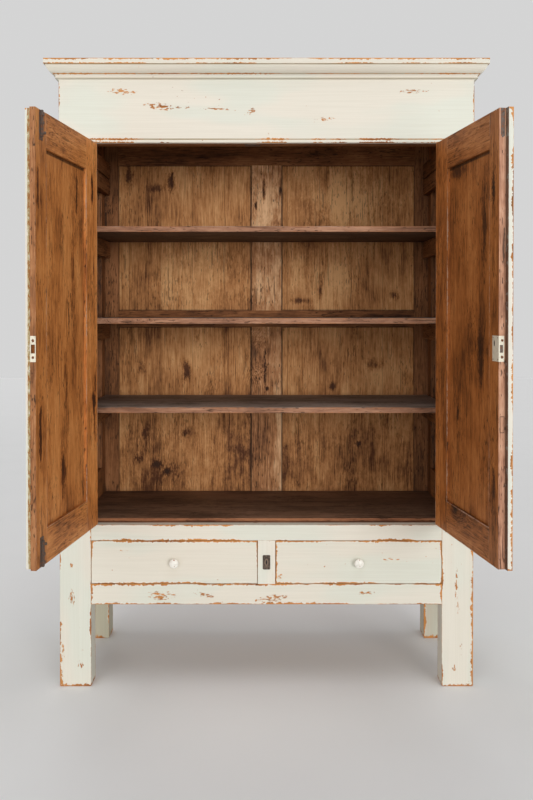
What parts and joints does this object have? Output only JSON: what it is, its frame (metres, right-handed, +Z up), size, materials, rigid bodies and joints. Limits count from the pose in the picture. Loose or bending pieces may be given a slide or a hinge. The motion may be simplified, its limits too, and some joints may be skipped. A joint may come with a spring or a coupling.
{
  "type": "trastero cabinet",
  "caption": "Tall painted wooden cupboard on legs: hinged frame-and-panel doors over fixed-height shelves, with drawers on runners below and a moulded cornice.",
  "frame": {"origin": "on the floor, under the middle of the bounding box with the doors as stored (open)", "axes": "+X to the right for someone who faces the doors, +Y from the front to the back, +Z up"},
  "size_m": [1.4, 1.154, 1.992],
  "materials": {
    "outside_paint": "worn satin paint on softwood, rubbed through to orange-brown wood at the edges",
    "inside_wood": "old brown stain, dusty and matt",
    "raw_wood": "bare softwood, sawn and aged",
    "door_wood": "warm brown stain inside, worn cream paint outside",
    "knob_paint": "off-white satin paint",
    "iron": "dark, hand-worn iron",
    "painted_iron": "iron painted over with the woodwork",
    "bronze": "dark bronze patina"
  },
  "bodies": {
    "carcass": {"back_muntins": "inside_wood", "back_panels": "inside_wood", "back_rails": "inside_wood", "back_stiles": "inside_wood", "bolt_keeper": "iron", "cornice_front": "outside_paint", "cornice_left": "outside_paint", "cornice_right": "outside_paint", "drawer_divider": "outside_paint", "drawer_escutcheon": "bronze", "drawer_kickers": "raw_wood", "drawer_runners": "raw_wood", "floor_board": "inside_wood", "frieze_board": "outside_paint", "front_left_post": "outside_paint", "front_right_post": "outside_paint", "head_rail": "inside_wood", "left_cleats": "inside_wood", "left_side_panels": "outside_paint", "left_side_rails": "outside_paint", "lower_drawer_rail": "outside_paint", "post_hinge_leaves": "iron", "rear_left_post": "outside_paint", "rear_right_post": "outside_paint", "right_cleats": "inside_wood", "right_side_panels": "outside_paint", "right_side_rails": "outside_paint", "shelf_bottom": "inside_wood", "shelf_middle": "inside_wood", "shelf_top": "inside_wood", "top_board": "raw_wood", "upper_drawer_rail": "outside_paint"},
    "left_door": {"left_hinge_stile": "door_wood", "left_lock_stile": "door_wood", "left_door_rails": "door_wood", "left_door_panel": "door_wood", "left_door_hinge_leaves": "iron", "left_bolt_plates": "iron", "strike_plate": "painted_iron"},
    "right_door": {"right_hinge_stile": "door_wood", "right_lock_stile": "door_wood", "right_door_rails": "door_wood", "right_door_panel": "door_wood", "right_door_hinge_leaves": "iron", "lock_case": "painted_iron", "door_escutcheon": "bronze", "edge_plate": "iron"},
    "left_drawer": {"left_drawer_front": "outside_paint", "left_drawer_box": "raw_wood", "left_drawer_bottom": "raw_wood", "left_knob": "knob_paint", "left_knob_screw": "iron"},
    "right_drawer": {"right_drawer_front": "outside_paint", "right_drawer_box": "raw_wood", "right_drawer_bottom": "raw_wood", "right_knob": "knob_paint", "right_knob_screw": "iron"},
    "left_top_bolt": {"left_top_bolt": "iron"},
    "left_bottom_bolt": {"left_bottom_bolt": "iron"},
    "lock_bolt": {"lock_bolt": "iron"}
  },
  "joints": [
    {"name": "left_door_hinge", "type": "hinge", "parent": "carcass", "child": "left_door", "pos_m": [-0.57425, 0.00496, 1.12525], "axis": [0, 0, -1], "range_deg": [-96.3, 80]},
    {"name": "right_door_hinge", "type": "hinge", "parent": "carcass", "child": "right_door", "pos_m": [0.57425, 0.00496, 1.12525], "axis": [0, 0, 1], "range_deg": [-97.2, 79]},
    {"name": "left_drawer_slide", "type": "slide", "parent": "carcass", "child": "left_drawer", "axis": [0, -1, 0], "range_m": [0, 0.38]},
    {"name": "right_drawer_slide", "type": "slide", "parent": "carcass", "child": "right_drawer", "axis": [0, -1, 0], "range_m": [0, 0.38]},
    {"name": "left_top_bolt_slide", "type": "slide", "parent": "left_door", "child": "left_top_bolt", "axis": [0, 0, 1], "range_m": [0, 0.015]},
    {"name": "left_bottom_bolt_slide", "type": "slide", "parent": "left_door", "child": "left_bottom_bolt", "axis": [0, 0, -1], "range_m": [0, 0.015]},
    {"name": "lock_bolt_slide", "type": "slide", "parent": "right_door", "child": "lock_bolt", "axis": [0.1253, -0.9921, 0], "range_m": [0, 0.009]}
  ]
}
